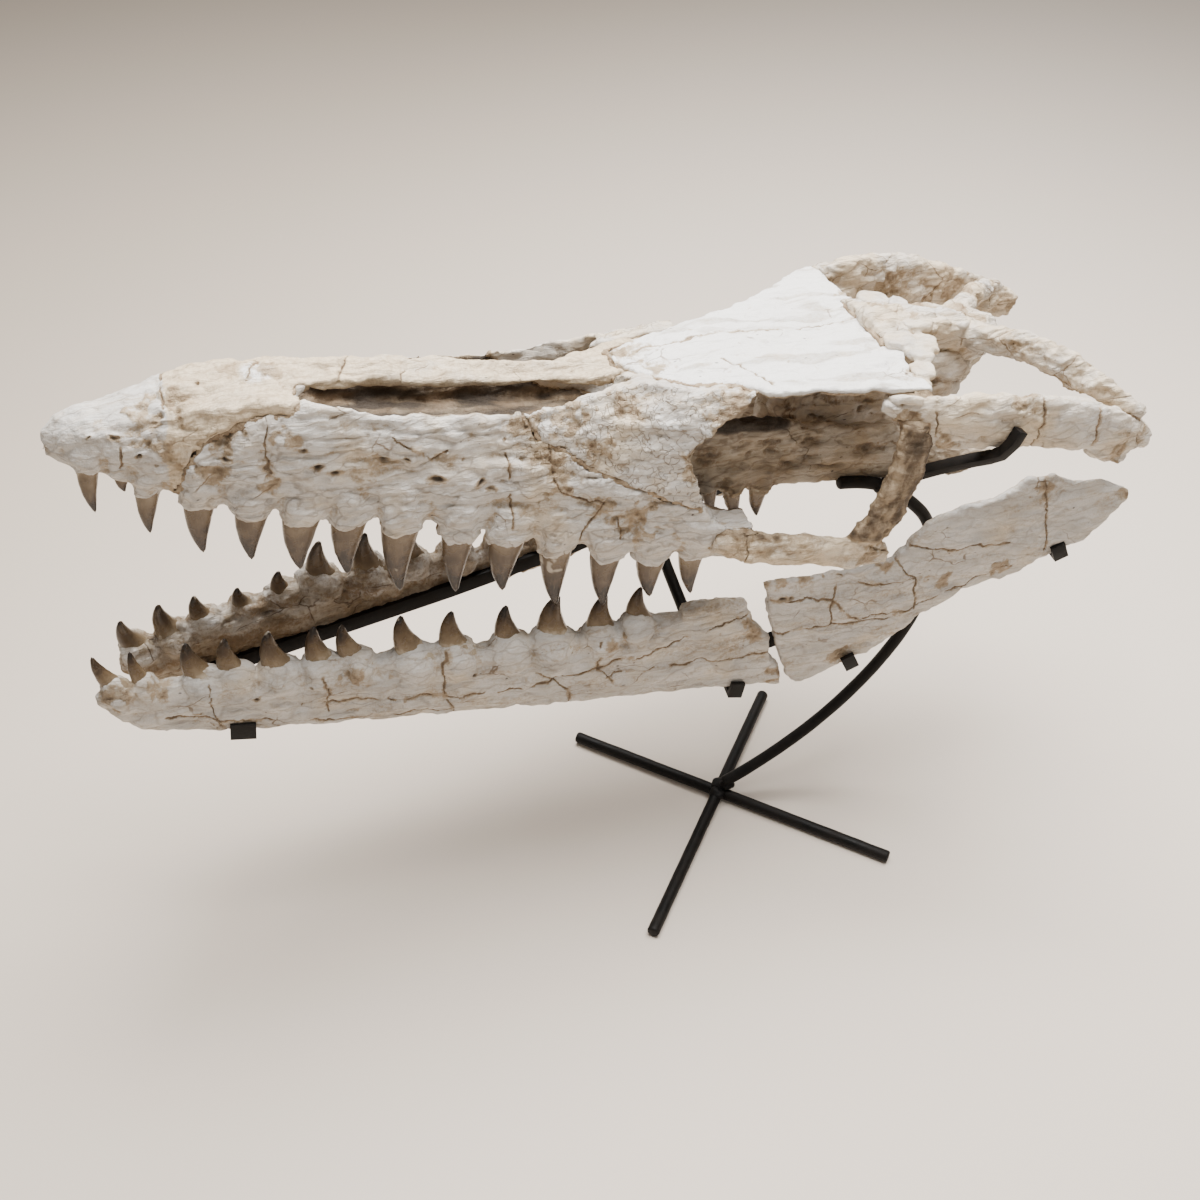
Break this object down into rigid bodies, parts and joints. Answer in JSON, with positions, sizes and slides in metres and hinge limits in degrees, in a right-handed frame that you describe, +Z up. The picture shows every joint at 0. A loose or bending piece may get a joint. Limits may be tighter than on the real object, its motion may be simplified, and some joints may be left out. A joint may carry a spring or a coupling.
{
  "type": "fossil mosasaur skull",
  "caption": "Long toothed marine reptile skull with open lower jaws, nose up, held on a bent iron rod stand with a crossed rod foot.",
  "frame": {"origin": "on the floor, on the underside of the long foot rod where the foot rods cross", "axes": "+X runs from the snout towards the back of the skull, +Y towards the skull's right side, +Z up"},
  "size_m": [0.7918, 0.2988, 0.4603],
  "materials": {
    "pale_bone": "dull",
    "cream_bone": "dull",
    "brown_bone": "dull",
    "blackened_iron": "waxed black"
  },
  "bodies": {
    "root": {"premaxilla": "cream_bone", "left_maxilla": "pale_bone", "right_maxilla": "pale_bone", "left_prefrontal": "pale_bone", "right_prefrontal": "pale_bone", "frontal": "pale_bone", "parietal": "cream_bone", "left_temporal_arch": "cream_bone", "right_temporal_arch": "cream_bone", "left_jugal": "cream_bone", "right_jugal": "cream_bone", "left_pterygoid": "brown_bone", "right_pterygoid": "brown_bone", "braincase": "brown_bone", "left_dentary": "pale_bone", "left_rear_jaw": "pale_bone", "right_dentary": "brown_bone", "right_rear_jaw": "brown_bone", "foot_rod_long": "blackened_iron", "foot_rod_rear": "blackened_iron", "foot_rod_front": "blackened_iron", "post": "blackened_iron", "post_link": "blackened_iron", "skull_arm": "blackened_iron", "cross_strut": "blackened_iron", "left_jaw_bar": "blackened_iron", "right_jaw_bar": "blackened_iron", "left_jaw_clip_1": "blackened_iron", "left_jaw_clip_2": "blackened_iron", "left_jaw_clip_3": "blackened_iron", "left_jaw_clip_4": "blackened_iron", "right_jaw_clip_1": "blackened_iron", "right_jaw_clip_2": "blackened_iron", "right_jaw_clip_3": "blackened_iron"}
  },
  "joints": []
}
